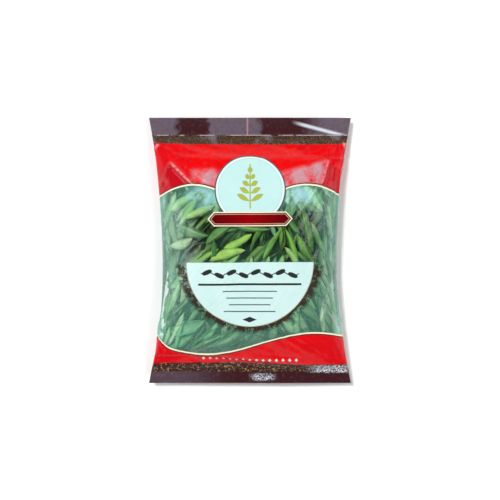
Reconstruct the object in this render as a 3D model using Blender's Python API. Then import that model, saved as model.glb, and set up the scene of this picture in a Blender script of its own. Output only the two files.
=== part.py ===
"""Heat-sealed pillow bag of dried curry leaves, lying on its back.

One web of clear film is rolled into a tube, lapped along the middle of the back and welded
flat across both ends. The leaves lie loose inside it. X runs across the bag, Y runs from the
bottom seal to the top seal, and Z points up through the front of the bag. The origin is on
the resting surface, under the middle of the bag.
"""

import bmesh
import bpy
import numpy as np

# Film bag, in metres
BAG_LENGTH = 0.210
END_WIDTH = 0.160
WAIST_WIDTH = 0.1345
WAIST_Y = -0.014
TOP_SEAL = 0.0165
BOTTOM_SEAL = 0.0115
FILM = 0.0006
SEAL_HEIGHT = 0.0125
FOLD_LIFT = 0.0045
FRONT_RISE = 0.0255
BACK_DROP = 0.0205
FLAP_DROOP = 0.0025

# How fast the bag widens from its waist to each end, as powers of the way there
TOP_FLARE = 1.9
BOTTOM_FLARE = 1.55

# How full the bag is towards each end, and how square its sections are
TOP_FALL = (2.3, 0.95)
BOTTOM_FALL = (3.2, 0.80)
BACK_FALL = (3.4, 0.90)
FRONT_SQUARENESS = (2.5, 1.9)
BACK_SQUARENESS = (3.2, 2.0)
SEAL_SQUARENESS = (9.0, 2.0)
FULL_SECTION_RISE = 0.006  # a section that rises more than this has none of the seal's squareness

# Lap seam along the back
LAP_WIDTH = 0.010
LAP_GAP = 0.0003
LAP_CLOSED = 3  # stations at each end where the lap is welded shut

# Leaves
LEAF_CLEARANCE = 0.0007
LEAF_END_MARGIN = 0.010
CORE_DEPTH = 0.0062
CORE_END_SIZE = 0.45
CORE_END_SHAPE = (6, 0.4)
LEAF_LENGTH = (0.027, 0.041)
LEAF_WIDTH = (0.0085, 0.0135)
LEAF_FOLD = (0.0020, 0.0044)
LEAF_THICKNESS = 0.0010
LEAF_TILT = 0.13
LEAF_BEND = 0.12
LEAF_LEAST_DEPTH = 0.0002
LEAF_SETTLE = 0.0012  # the most that a blade lies further out than its sink into the core asks
EDGES_DOWN_SHARE = 0.6  # share of the blades whose edges point inwards, where the rest show a trough
BLADE_PLACES = (-0.17, 0.20)  # the blade's two wide sections, as shares of its length from its middle
BLADE_WIDTHS = (1.0, 0.86)
TIP_FOLD = (0.75, 0.55)  # share of the fold at the tips, edges inwards and edges outwards
SINK = 0.0008
FRONT_LEAVES = (10, 7)
BACK_LEAVES = (7, 5)
ROW_MARGIN = 0.006
SIDE_SCATTER = 0.2
ROW_SCATTER = 0.25
LEAF_SEED = 20

# Finishes: colour, roughness and opacity
FILM_FINISH = ((0.80, 0.10, 0.10), 0.12, 0.45)
LEAF_FINISH = ((0.16, 0.34, 0.13), 0.75, 1.0)

# Mesh fineness
RING_POINTS = 44
BODY_STATIONS = 21
SEAL_STATIONS = 4
CORE_RING_POINTS = 26
CORE_STATIONS = 13
CURVE_POINTS = 4001
FINE_RING = 240
FINE_STATIONS = 121
END_BUNCHING = 0.55

Y_LOW = -BAG_LENGTH / 2 + BOTTOM_SEAL
Y_HIGH = BAG_LENGTH / 2 - TOP_SEAL


def clear_scene():
    for obj in list(bpy.data.objects):
        bpy.data.objects.remove(obj, do_unlink=True)


def half_width(y):
    """Half the bag's width: full at the end seals and drawn in where the bag is fullest."""
    away = y - WAIST_Y
    to_top = np.abs(away / (BAG_LENGTH / 2 - WAIST_Y)) ** TOP_FLARE
    to_bottom = np.abs(away / (BAG_LENGTH / 2 + WAIST_Y)) ** BOTTOM_FLARE
    return (WAIST_WIDTH + (END_WIDTH - WAIST_WIDTH) * np.where(away > 0, to_top, to_bottom)) / 2


def fall(share, shape):
    """1 in the middle of the bag and 0 where the film meets the seal."""
    power, root = shape
    return np.clip(1 - share**power, 0, 1) ** root


def section_heights(y):
    """Height of the side fold, rise of the front above it and drop of the back below it."""
    middle = (Y_LOW + Y_HIGH) / 2
    share = np.abs(y - middle) / ((Y_HIGH - Y_LOW) / 2)
    inside = np.clip(share, 0, 1)
    front = np.where(y > middle, fall(inside, TOP_FALL), fall(inside, BOTTOM_FALL))
    back = fall(inside, BACK_FALL)
    past_end = np.clip(y - Y_HIGH, 0, None) / TOP_SEAL + np.clip(Y_LOW - y, 0, None) / BOTTOM_SEAL
    fold = SEAL_HEIGHT + FOLD_LIFT * back - FLAP_DROOP * past_end**1.5
    return fold, FRONT_RISE * front, BACK_DROP * back


def ring(y, inset, points):
    """One section of the bag, inset from its outside, as points evenly spaced round it.

    It is a superellipse: its front and back halves have their own heights and squareness,
    and it is nearly rectangular in the seals. The underside is flat where it rests.
    """
    fold, rise, drop = (float(value) for value in section_heights(np.float64(y)))
    in_body = np.clip(min(rise, drop) / FULL_SECTION_RISE, 0, 1)
    angle = np.linspace(0, 2 * np.pi, CURVE_POINTS)
    front = angle <= np.pi
    across_power = np.where(front, FRONT_SQUARENESS[0], BACK_SQUARENESS[0])
    up_power = np.where(front, FRONT_SQUARENESS[1], BACK_SQUARENESS[1])
    across_power = SEAL_SQUARENESS[0] + (across_power - SEAL_SQUARENESS[0]) * in_body
    up_power = SEAL_SQUARENESS[1] + (up_power - SEAL_SQUARENESS[1]) * in_body
    rise = max(rise, 0) + FILM - inset
    drop = max(drop, 0) + FILM - inset
    wide = float(half_width(np.float64(y))) - inset
    cos, sin = np.cos(angle), np.sin(angle)
    x = wide * np.sign(cos) * np.abs(cos) ** (2 / across_power)
    z = fold + np.where(front, rise, drop) * np.sign(sin) * np.abs(sin) ** (2 / up_power)
    z = np.maximum(z, inset)
    run = np.concatenate([[0], np.cumsum(np.hypot(np.diff(x), np.diff(z)))])
    wanted = np.linspace(0, run[-1], points, endpoint=False)
    return np.column_stack([np.interp(wanted, run, x), np.full(points, y), np.interp(wanted, run, z)])


def rings_object(name, rings):
    """A closed solid from rings of points, with its two ends capped."""
    count, around, _ = rings.shape
    points = [tuple(point) for point in rings.reshape(-1, 3)]
    faces = []
    for row in range(count - 1):
        for column in range(around):
            after = (column + 1) % around
            here, ahead = row * around, (row + 1) * around
            faces.append((here + column, ahead + column, ahead + after, here + after))
    faces.append(tuple(range(around)))
    faces.append(tuple(reversed(range((count - 1) * around, count * around))))
    mesh = bpy.data.meshes.new(name)
    mesh.from_pydata(points, [], faces)
    obj = bpy.data.objects.new(name, mesh)
    bpy.context.scene.collection.objects.link(obj)
    return obj


def make_cutter(obj):
    obj.hide_render = True
    obj.display_type = "WIRE"
    return obj


def boolean(obj, operation, other, solver="EXACT"):
    modifier = obj.modifiers.new(operation.title() + " " + other.name, "BOOLEAN")
    modifier.operation = operation
    modifier.solver = solver
    if isinstance(other, bpy.types.Collection):
        modifier.operand_type = "COLLECTION"
        modifier.collection = other
    else:
        modifier.object = other
    return modifier


def material(name, colour, roughness, alpha):
    made = bpy.data.materials.new(name)
    made.use_nodes = True
    shader = made.node_tree.nodes["Principled BSDF"]
    shader.inputs["Base Color"].default_value = (*colour, 1)
    shader.inputs["Roughness"].default_value = roughness
    shader.inputs["Metallic"].default_value = 0
    shader.inputs["Alpha"].default_value = alpha
    made.diffuse_color = (*colour, alpha)
    return made


def body_stations(low, high, count):
    """Places along the bag, closer together towards both ends, where it bends most."""
    bunched = (1 - np.cos(np.linspace(0, np.pi, count))) / 2
    even = np.linspace(0, 1, count)
    return low + (high - low) * (END_BUNCHING * bunched + (1 - END_BUNCHING) * even)


def lap_path(y):
    """Height of the outside of the back film along the middle of the bag."""
    fold, _, drop = section_heights(y)
    return np.maximum(fold - drop - FILM, 0)


def lap_loft(name, outline, stations):
    """A closed strip along the back: an outline across the bag, carried along the back film."""
    heights = lap_path(stations)
    rings = [[(x, y, z + height) for x, z in outline] for y, height in zip(stations, heights)]
    return rings_object(name, np.array(rings))


def make_film_bag():
    """The film web: a thin shell, welded at both ends and lapped along the back."""
    half = BAG_LENGTH / 2
    low_seal = np.linspace(-half, Y_LOW, SEAL_STATIONS)[:-1]
    high_seal = np.linspace(Y_HIGH, half, SEAL_STATIONS)[1:]
    body = body_stations(Y_LOW, Y_HIGH, BODY_STATIONS)
    stations = np.concatenate([low_seal, body, high_seal])
    bag = rings_object("film_bag", np.array([ring(y, 0, RING_POINTS) for y in stations]))

    hollow = rings_object("bag_hollow", np.array([ring(y, FILM, RING_POINTS) for y in body[1:-1]]))
    boolean(bag, "DIFFERENCE", make_cutter(hollow))

    half_lap = LAP_WIDTH / 2
    inner_edge = FILM + LAP_GAP
    strip_outline = [
        (half_lap + LAP_GAP + 2 * FILM, FILM * 0.5),
        (half_lap + LAP_GAP + FILM, inner_edge + FILM),
        (-half_lap, inner_edge + FILM),
        (-half_lap, FILM * 0.5),
    ]
    strip = lap_loft("lap_strip", strip_outline, body[1:-1])
    boolean(bag, "UNION", make_cutter(strip))

    slit_outline = [
        (half_lap + LAP_GAP, -FILM),
        (half_lap + LAP_GAP, inner_edge),
        (-half_lap - FILM, inner_edge),
        (-half_lap - FILM, FILM),
        (half_lap, FILM),
        (half_lap, -FILM),
    ]
    slit = lap_loft("lap_slit", slit_outline, body[LAP_CLOSED:-LAP_CLOSED])
    boolean(bag, "DIFFERENCE", make_cutter(slit))
    bag.data.materials.append(material("clear_printed_film", *FILM_FINISH))
    return bag


def leaf_space():
    """A fine grid of the space for the leaves: its outer points and the way out of each."""
    inset = FILM + LEAF_CLEARANCE
    low, high = Y_LOW + LEAF_END_MARGIN, Y_HIGH - LEAF_END_MARGIN
    stations = np.linspace(low, high, FINE_STATIONS)
    grid = np.array([ring(y, inset, FINE_RING) for y in stations])
    around = np.roll(grid, -1, axis=1) - np.roll(grid, 1, axis=1)
    along = np.gradient(grid, axis=0)
    outward = np.cross(along, around)
    outward /= np.linalg.norm(outward, axis=2, keepdims=True)
    girth = np.linalg.norm(np.roll(grid, -1, axis=1) - grid, axis=2).sum(axis=1)
    return {"low": low, "high": high, "grid": grid, "outward": outward, "girth": girth}


def place_in_space(space, around, along, depth):
    """Points given by their share of the way round, their place along the bag and their depth."""
    row = np.clip((along - space["low"]) / (space["high"] - space["low"]), 0, 1) * (FINE_STATIONS - 1)
    column = (around % 1.0) * FINE_RING
    row_low = np.minimum(row.astype(int), FINE_STATIONS - 2)
    column_low = column.astype(int) % FINE_RING
    row_part = (row - row_low)[..., None]
    column_part = (column - column.astype(int))[..., None]
    column_high = (column_low + 1) % FINE_RING

    def across(values, row_index):
        return values[row_index, column_low] * (1 - column_part) + values[row_index, column_high] * column_part

    def blend(values):
        return across(values, row_low) * (1 - row_part) + across(values, row_low + 1) * row_part

    outward = blend(space["outward"])
    outward /= np.linalg.norm(outward, axis=-1, keepdims=True)
    return blend(space["grid"]) - outward * depth[..., None]


def core_ring(y, share):
    """One section of the pile's core, drawn in towards the pile's two ends."""
    section = ring(y, FILM + LEAF_CLEARANCE + CORE_DEPTH, CORE_RING_POINTS)
    centre = section.mean(axis=0)
    size = CORE_END_SIZE + (1 - CORE_END_SIZE) * fall(abs(share), CORE_END_SHAPE)
    return centre + (section - centre) * size


def leaf_blade(space, draw, around, along):
    """One dried leaflet: a pointed blade folded along its midrib, lying under the film."""
    length = draw.uniform(*LEAF_LENGTH)
    width = draw.uniform(*LEAF_WIDTH)
    heading = draw.uniform(0, np.pi)
    fold = draw.uniform(*LEAF_FOLD)
    edges_down = draw.random() < EDGES_DOWN_SHARE
    tilt = draw.uniform(-LEAF_TILT, LEAF_TILT)
    bend = draw.uniform(-LEAF_BEND, LEAF_BEND)
    lift = CORE_DEPTH + SINK - LEAF_THICKNESS - fold - draw.uniform(0, LEAF_SETTLE)
    lift = max(lift, LEAF_LEAST_DEPTH)

    # Across the blade: left edge, midrib, right edge. Along it: two stations between two tips.
    side = np.array([-1.0, 0.0, 1.0])
    lengthwise = np.repeat(BLADE_PLACES, len(side)) * length
    crosswise = np.outer(BLADE_WIDTHS, side).ravel() * width / 2
    crosswise = crosswise + bend * length * (1 - (2 * lengthwise / length) ** 2)
    down = np.tile(np.abs(side) if edges_down else 1 - np.abs(side), len(BLADE_PLACES))
    depth = lift + fold * down + tilt * lengthwise
    tips = np.array([-length / 2, length / 2])
    tip_depth = lift + fold * (TIP_FOLD[0] if edges_down else TIP_FOLD[1]) + tilt * tips
    lengthwise = np.concatenate([lengthwise, tips])
    crosswise = np.concatenate([crosswise, [0.0, 0.0]])
    depth = np.concatenate([depth, tip_depth])
    depth = depth - min(depth.min(), 0.0)

    girth = np.interp(along, np.linspace(space["low"], space["high"], FINE_STATIONS), space["girth"])
    swing_cos, swing_sin = np.cos(heading), np.sin(heading)
    u = around + (lengthwise * swing_cos - crosswise * swing_sin) / girth
    v = along + lengthwise * swing_sin + crosswise * swing_cos
    over = place_in_space(space, u, v, depth)
    under = place_in_space(space, u, v, depth + LEAF_THICKNESS)

    near_tip, far_tip = 6, 7
    faces = []
    for column in (0, 1):
        faces.append((column, column + 1, column + 4))
        faces.append((column, column + 4, column + 3))
        faces.append((near_tip, column + 1, column))
        faces.append((far_tip, column + 3, column + 4))
    top_count = len(over)
    rim = [near_tip, 0, 3, far_tip, 5, 2]
    solid = list(faces)
    solid += [tuple(top_count + corner for corner in reversed(face)) for face in faces]
    for start, end in zip(rim, rim[1:] + rim[:1]):
        solid.append((start, end, top_count + end))
        solid.append((start, top_count + end, top_count + start))
    return np.concatenate([over, under]), solid


def mesh_object(name, points, faces, collection):
    mesh = bpy.data.meshes.new(name)
    mesh.from_pydata([tuple(point) for point in points], [], faces)
    volume = sum(np.dot(points[a], np.cross(points[b], points[c])) for a, b, c in faces)
    if volume < 0:
        mesh.flip_normals()
    obj = bpy.data.objects.new(name, mesh)
    collection.objects.link(obj)
    return obj


def keep_largest_body(obj):
    """Drops the hollows that fusing sealed and any scrap that is joined to nothing by a face."""
    shape = bmesh.new()
    shape.from_mesh(obj.data)
    bmesh.ops.triangulate(shape, faces=shape.faces)
    unseen = set(shape.faces)
    bodies = []
    while unseen:
        body, front = set(), [unseen.pop()]
        while front:
            face = front.pop()
            body.add(face)
            for edge in face.edges:
                beside = [other for other in edge.link_faces if other in unseen] if edge.is_manifold else []
                unseen.difference_update(beside)
                front.extend(beside)
        bodies.append(body)
    largest = max(bodies, key=len)
    loose = [face for body in bodies if body is not largest for face in body]
    bmesh.ops.delete(shape, geom=loose, context="FACES")
    shape.to_mesh(obj.data)
    shape.free()


def make_leaf_pile():
    """The loose leaves as one body: a smaller core that blades stand out of on every side."""
    space = leaf_space()
    draw = np.random.default_rng(LEAF_SEED)
    stations = body_stations(space["low"] + CORE_DEPTH, space["high"] - CORE_DEPTH, CORE_STATIONS)
    shares = (stations - stations.mean()) / (stations[-1] - stations.mean())
    core_rings = [core_ring(y, share) for y, share in zip(stations, np.clip(shares, -1, 1))]
    pile = rings_object("dried_leaves", np.array(core_rings))

    blades = bpy.data.collections.new("leaf_blades")
    bpy.context.scene.collection.children.link(blades)
    run_low, run_high = space["low"] + ROW_MARGIN, space["high"] - ROW_MARGIN
    for first, (rows, columns) in ((0.0, FRONT_LEAVES), (0.5, BACK_LEAVES)):
        for row in range(rows):
            for column in range(columns):
                # every second row is half a step further round
                shift = 0.25 + 0.5 * (row % 2) + draw.uniform(-SIDE_SCATTER, SIDE_SCATTER)
                around = first + 0.5 * (column + shift) / columns
                row_place = row + 0.5 + draw.uniform(-ROW_SCATTER, ROW_SCATTER)
                along = run_low + (run_high - run_low) * row_place / rows
                points, faces = leaf_blade(space, draw, around, along)
                mesh_object(f"blade_{len(blades.objects)}", points, faces, blades)

    union = boolean(pile, "UNION", blades, "MANIFOLD")
    bpy.context.view_layer.objects.active = pile
    bpy.ops.object.modifier_apply(modifier=union.name)
    for blade in list(blades.objects):
        bpy.data.objects.remove(blade, do_unlink=True)
    bpy.data.collections.remove(blades)
    keep_largest_body(pile)
    pile.data.materials.append(material("dried_leaf", *LEAF_FINISH))
    return pile


def main():
    clear_scene()
    make_film_bag()
    make_leaf_pile()


main()
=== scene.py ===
import bpy
import numpy as np
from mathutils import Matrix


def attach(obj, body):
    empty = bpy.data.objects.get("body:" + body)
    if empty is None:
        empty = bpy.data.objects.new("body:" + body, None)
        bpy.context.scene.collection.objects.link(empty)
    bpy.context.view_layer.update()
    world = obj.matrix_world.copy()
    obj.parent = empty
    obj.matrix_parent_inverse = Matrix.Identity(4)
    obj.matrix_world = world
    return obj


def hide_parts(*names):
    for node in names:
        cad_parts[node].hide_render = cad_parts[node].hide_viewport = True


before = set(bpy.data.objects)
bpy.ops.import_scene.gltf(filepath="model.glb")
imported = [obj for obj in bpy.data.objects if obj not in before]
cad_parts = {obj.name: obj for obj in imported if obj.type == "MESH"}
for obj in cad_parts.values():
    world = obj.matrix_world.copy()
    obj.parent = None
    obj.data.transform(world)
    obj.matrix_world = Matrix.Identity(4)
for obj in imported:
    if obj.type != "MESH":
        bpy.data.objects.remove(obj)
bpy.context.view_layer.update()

mm = 0.001


# Materials: small helpers

def linear(red, green, blue):
    # screen colour from 0 to 255, turned into light
    parts = np.array([red, green, blue]) / 255
    light = np.where(parts <= 0.04045, parts / 12.92, ((parts + 0.055) / 1.055) ** 2.4)
    return (*(float(part) for part in light), 1.0)


class Field:
    # a number that varies over a surface; sums, products and powers of fields become math nodes
    def __init__(self, tree, socket):
        self.tree, self.socket = tree, socket

    def math(self, operation, *values, clamp=False):
        node = self.tree.nodes.new("ShaderNodeMath")
        node.operation, node.use_clamp = operation, clamp
        for socket, value in zip(node.inputs, values):
            feed(self.tree, socket, value)
        return Field(self.tree, node.outputs[0])

    def __add__(self, other): return self.math("ADD", self, other)
    def __radd__(self, other): return self.math("ADD", other, self)
    def __sub__(self, other): return self.math("SUBTRACT", self, other)
    def __rsub__(self, other): return self.math("SUBTRACT", other, self)
    def __mul__(self, other): return self.math("MULTIPLY", self, other)
    def __rmul__(self, other): return self.math("MULTIPLY", other, self)
    def __truediv__(self, other): return self.math("DIVIDE", self, other)
    def __pow__(self, other): return self.math("POWER", self, other)
    def __abs__(self): return self.math("ABSOLUTE", self)
    def sin(self): return self.math("SINE", self)
    def cos(self): return self.math("COSINE", self)
    def fract(self): return self.math("FRACT", self)
    def most(self, other): return self.math("MAXIMUM", self, other)
    def least(self, other): return self.math("MINIMUM", self, other)
    def share(self): return self.math("ADD", self, 0.0, clamp=True)

    def above(self, edge, soft):
        # 0 below the edge, 1 above it, with a soft step between
        node = self.tree.nodes.new("ShaderNodeMapRange")
        node.interpolation_type = "SMOOTHSTEP"
        feed(self.tree, node.inputs["Value"], self)
        feed(self.tree, node.inputs["From Min"], edge - soft)
        feed(self.tree, node.inputs["From Max"], edge + soft)
        return Field(self.tree, node.outputs["Result"])

    def below(self, edge, soft): return 1.0 - self.above(edge, soft)
    def between(self, low, high, soft): return self.above(low, soft) * self.below(high, soft)

    def cells(self, pitch):
        # signed distance to the nearest of evenly spaced places
        return ((self / pitch + 1000.5).fract() - 0.5) * pitch


def feed(tree, socket, value):
    if isinstance(value, Field):
        value = value.socket
    if isinstance(value, bpy.types.NodeSocket):
        tree.links.new(value, socket)
    elif value is not None:
        socket.default_value = value


def newNode(tree, kind, inputs=None, **settings):
    node = tree.nodes.new(kind)
    for name, value in settings.items():
        setattr(node, name, value)
    for name, value in (inputs or {}).items():
        feed(tree, node.inputs[name], value)
    return node


def mixColour(tree, share, first, second):
    node = newNode(tree, "ShaderNodeMix", data_type="RGBA")
    for index, value in ((0, share), (6, first), (7, second)):
        feed(tree, node.inputs[index], value)
    return node.outputs[2]


def noiseAt(tree, place, scale, detail=2.0, rough=0.5):
    inputs = {"Vector": place, "Scale": scale, "Detail": detail, "Roughness": rough}
    return Field(tree, newNode(tree, "ShaderNodeTexNoise", inputs).outputs["Fac"])


def bumpFrom(tree, height, strength, distance):
    inputs = {"Strength": strength, "Distance": distance, "Height": height}
    return newNode(tree, "ShaderNodeBump", inputs).outputs[0]


def colourRamp(tree, value, stops):
    node = newNode(tree, "ShaderNodeValToRGB", {"Fac": value})
    ramp = node.color_ramp
    while len(ramp.elements) < len(stops):
        ramp.elements.new(0.5)
    for element, (place, colour) in zip(ramp.elements, stops):
        element.position = place
        element.color = colour
    return node.outputs["Color"]


def newMaterial(name):
    made = bpy.data.materials.new(name)
    made.use_nodes = True
    made.node_tree.nodes.clear()
    return made, made.node_tree


def attribute(tree, name, output="Fac"):
    return Field(tree, newNode(tree, "ShaderNodeAttribute", attribute_name=name).outputs[output])


# Meshes: small helpers

def gridFaces(rows, columns):
    # quads of a grid of rows by columns, wrapped round its columns
    row = np.arange(rows - 1)[:, None]
    column = np.arange(columns)[None, :]
    after = (column + 1) % columns
    here, ahead = row * columns, (row + 1) * columns
    return np.stack([here + column, ahead + column, ahead + after, here + after], -1).reshape(-1, 4)


def newPiece(name, points, faces, replaced, finish):
    mesh = bpy.data.meshes.new(name)
    mesh.from_pydata(points.reshape(-1, 3), [], faces)
    mesh.shade_smooth()
    mesh.materials.append(finish)
    piece = bpy.data.objects.new(name, mesh)
    bpy.context.scene.collection.objects.link(piece)
    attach(piece, "root")
    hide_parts(replaced)
    return piece


def pointValues(piece, name, values):
    made = piece.data.attributes.new(name, "FLOAT", "POINT")
    made.data.foreach_set("value", np.asarray(values, np.float32).ravel())


def pointVectors(piece, name, values):
    made = piece.data.attributes.new(name, "FLOAT_VECTOR", "POINT")
    made.data.foreach_set("vector", np.asarray(values, np.float32).ravel())


# Shape of the bag, in metres, as its solids have it

bag = {
    "length": 0.210,
    "endWidth": 0.160,
    "waistWidth": 0.1345,
    "waistY": -0.014,
    "topSeal": 0.0165,
    "bottomSeal": 0.0115,
    "film": 0.0006,
    "sealHeight": 0.0125,
    "foldLift": 0.0045,
    "frontRise": 0.0255,
    "backDrop": 0.0205,
    "flapDroop": 0.0025,
    "topFlare": 1.9,
    "bottomFlare": 1.55,
    "topFall": (2.3, 0.95),
    "bottomFall": (3.2, 0.80),
    "backFall": (3.4, 0.90),
    "frontSquare": (2.5, 1.9),
    "backSquare": (3.2, 2.0),
    "sealSquare": (9.0, 2.0),
    "fullRise": 0.006,     # a section that rises more than this has none of the seal's squareness
}
yLow = -bag["length"] / 2 + bag["bottomSeal"]
yHigh = bag["length"] / 2 - bag["topSeal"]


def halfWidth(y):
    # waist width, plus the rest of the width by a power of the way to each end
    away = y - bag["waistY"]
    up = np.abs(away / (bag["length"] / 2 - bag["waistY"])) ** bag["topFlare"]
    down = np.abs(away / (bag["length"] / 2 + bag["waistY"])) ** bag["bottomFlare"]
    return (bag["waistWidth"] + (bag["endWidth"] - bag["waistWidth"]) * np.where(away > 0, up, down)) / 2


def fallOff(share, shape):
    return np.clip(1 - share ** shape[0], 0, 1) ** shape[1]


def bagHeights(y):
    # height of the side fold, rise of the front over it, drop of the back under it
    middle = (yLow + yHigh) / 2
    share = np.clip(np.abs(y - middle) / ((yHigh - yLow) / 2), 0, 1)
    front = np.where(y > middle, fallOff(share, bag["topFall"]), fallOff(share, bag["bottomFall"]))
    back = fallOff(share, bag["backFall"])
    past = np.clip(y - yHigh, 0, None) / bag["topSeal"] + np.clip(yLow - y, 0, None) / bag["bottomSeal"]
    fold = bag["sealHeight"] + bag["foldLift"] * back - bag["flapDroop"] * past ** 1.5
    return fold, bag["frontRise"] * front, bag["backDrop"] * back


def bagRing(y, inset, count):
    # a superellipse whose front and back have their own height and squareness, as evenly
    # spaced points: count steps over the front from +X to -X, then as many under the back
    fold, rise, drop = (float(value) for value in bagHeights(np.float64(y)))
    inBody = np.clip(min(rise, drop) / bag["fullRise"], 0, 1)
    wide = float(halfWidth(np.float64(y))) - inset
    halves = []
    for shape, height, start in (("frontSquare", rise, 0.0), ("backSquare", drop, np.pi)):
        across, up = (bag["sealSquare"][i] + (bag[shape][i] - bag["sealSquare"][i]) * inBody for i in (0, 1))
        angle = start + np.linspace(0, np.pi, 1501)
        cos, sin = np.cos(angle), np.sin(angle)
        x = wide * np.sign(cos) * np.abs(cos) ** (2 / across)
        z = fold + (height + bag["film"] - inset) * np.sign(sin) * np.abs(sin) ** (2 / up)
        z = np.maximum(z, inset)
        run = np.concatenate([[0], np.cumsum(np.hypot(np.diff(x), np.diff(z)))])
        wanted = np.linspace(0, run[-1], count, endpoint=False)
        evenX, evenZ = np.interp(wanted, run, x), np.interp(wanted, run, z)
        halves.append(np.column_stack([evenX, np.full(count, y), evenZ]))
    return np.concatenate(halves)


# Film: a tube of film, first laid on the bag's form, then simulated from its flat cut

film = {
    "across": 84,          # steps over the front, and as many under the back
    "rows": 121,
    "flatHalfWidth": 0.0806,
    "frames": 26,
    "pressure": 0.45,
    "mostMove": 0.0045,
    "fillInset": 0.0034,
    "fillEnds": (0.013, 0.018),     # how far the fill stays from the bottom and the top seal
    "lumps": 160,
    "lumpHeight": 0.0016,
    "lumpWidth": (0.006, 0.012),
    "seed": 11,
}


def fillForm(rng):
    # the space that the leaves take, with soft lumps: sums of rounded bumps on the bag's form
    fromBottom, fromTop = film["fillEnds"]
    rows = np.linspace(yLow + fromBottom, yHigh - fromTop, 44)
    rings = np.array([bagRing(y, film["fillInset"], 44) for y in rows])
    outward = rings - rings.mean(axis=1, keepdims=True)
    outward /= np.linalg.norm(outward, axis=2, keepdims=True)
    lumps = np.zeros(rings.shape[:2])
    picked = rng.choice(rings.shape[0] * rings.shape[1], film["lumps"], replace=False)
    for spot in rings.reshape(-1, 3)[picked]:
        gap = np.linalg.norm(rings - spot, axis=2)
        lumps += rng.uniform(-1, 1) * np.exp(-((gap / rng.uniform(*film["lumpWidth"])) ** 2))
    return rings + outward * lumps[..., None] * film["lumpHeight"]


def stopper(name, points, faces, thickness):
    mesh = bpy.data.meshes.new(name)
    mesh.from_pydata(points, [], faces)
    made = bpy.data.objects.new(name, mesh)
    bpy.context.scene.collection.objects.link(made)
    made.modifiers.new("Collision", "COLLISION")
    made.collision.thickness_outer = thickness
    made.collision.thickness_inner = 0.002
    made.collision.cloth_friction = 15
    return made


def simulateFilm(start, flat, pinned, fill):
    mesh = bpy.data.meshes.new("film_cut")
    mesh.from_pydata(start.reshape(-1, 3), [], gridFaces(*start.shape[:2]))
    cut = bpy.data.objects.new("film_cut", mesh)
    bpy.context.scene.collection.objects.link(cut)
    cut.shape_key_add(name="Basis")
    flatKey = cut.shape_key_add(name="flat")
    flatKey.data.foreach_set("co", flat.astype(np.float32).ravel())
    cut.vertex_groups.new(name="seals").add([int(i) for i in np.flatnonzero(pinned)], 1.0, "ADD")
    reach, low = 0.3, -0.0009
    corners = [(-reach, -reach, low), (reach, -reach, low), (reach, reach, low), (-reach, reach, low)]
    floor = stopper("floor_stop", corners, [(0, 1, 2, 3)], 0.0005)
    rows, around = fill.shape[:2]
    ends = [list(range(around)), list(range((rows - 1) * around, rows * around))[::-1]]
    body = stopper("leaf_stop", fill.reshape(-1, 3), gridFaces(rows, around).tolist() + ends, 0.001)

    cloth = cut.modifiers.new("Cloth", "CLOTH")
    settings = {
        "quality": 8, "mass": 0.004, "air_damping": 3,
        "tension_stiffness": 80, "compression_stiffness": 80, "shear_stiffness": 40,
        "bending_stiffness": 0.15,
        "tension_damping": 10, "compression_damping": 10, "shear_damping": 10, "bending_damping": 0.5,
        "use_pressure": True, "uniform_pressure_force": film["pressure"],
        "vertex_group_mass": "seals", "rest_shape_key": flatKey,
    }
    for name, value in settings.items():
        setattr(cloth.settings, name, value)
    cloth.collision_settings.distance_min = 0.0008
    cloth.collision_settings.collision_quality = 3
    cloth.point_cache.frame_start, cloth.point_cache.frame_end = 1, film["frames"]
    scene = bpy.context.scene
    scene.frame_end = film["frames"]
    for step in range(1, film["frames"] + 1):
        scene.frame_set(step)
    settled = cut.evaluated_get(bpy.context.evaluated_depsgraph_get()).to_mesh()
    moved = np.empty(start.size, np.float32)
    settled.vertices.foreach_get("co", moved)
    for helper in (cut, floor, body):
        bpy.data.objects.remove(helper)
    scene.frame_set(1)
    return moved.reshape(start.shape).astype(float)


def finer(grid):
    # twice as many rows and columns, each new point on a smooth curve through its four neighbours
    rows, columns = grid.shape[:2]
    longer = np.concatenate([2 * grid[:1] - grid[1:2], grid, 2 * grid[-1:] - grid[-2:-1]])
    tall = np.empty((2 * rows - 1, columns, grid.shape[2]))
    tall[::2] = grid
    tall[1::2] = (9 * (longer[1:-2] + longer[2:-1]) - longer[:-3] - longer[3:]) / 16
    nextOne, nextTwo, before = (np.roll(tall, step, axis=1) for step in (-1, -2, 1))
    wide = np.empty((2 * rows - 1, 2 * columns, grid.shape[2]))
    wide[:, ::2] = tall
    wide[:, 1::2] = (9 * (tall + nextOne) - before - nextTwo) / 16
    return wide


def outwardOf(grid):
    # direction away from the bag at each point: across its row and column neighbours
    outward = np.cross(np.gradient(grid, axis=0), np.roll(grid, -1, axis=1) - np.roll(grid, 1, axis=1))
    return outward / np.maximum(np.linalg.norm(outward, axis=2, keepdims=True), 1e-12)


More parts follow.
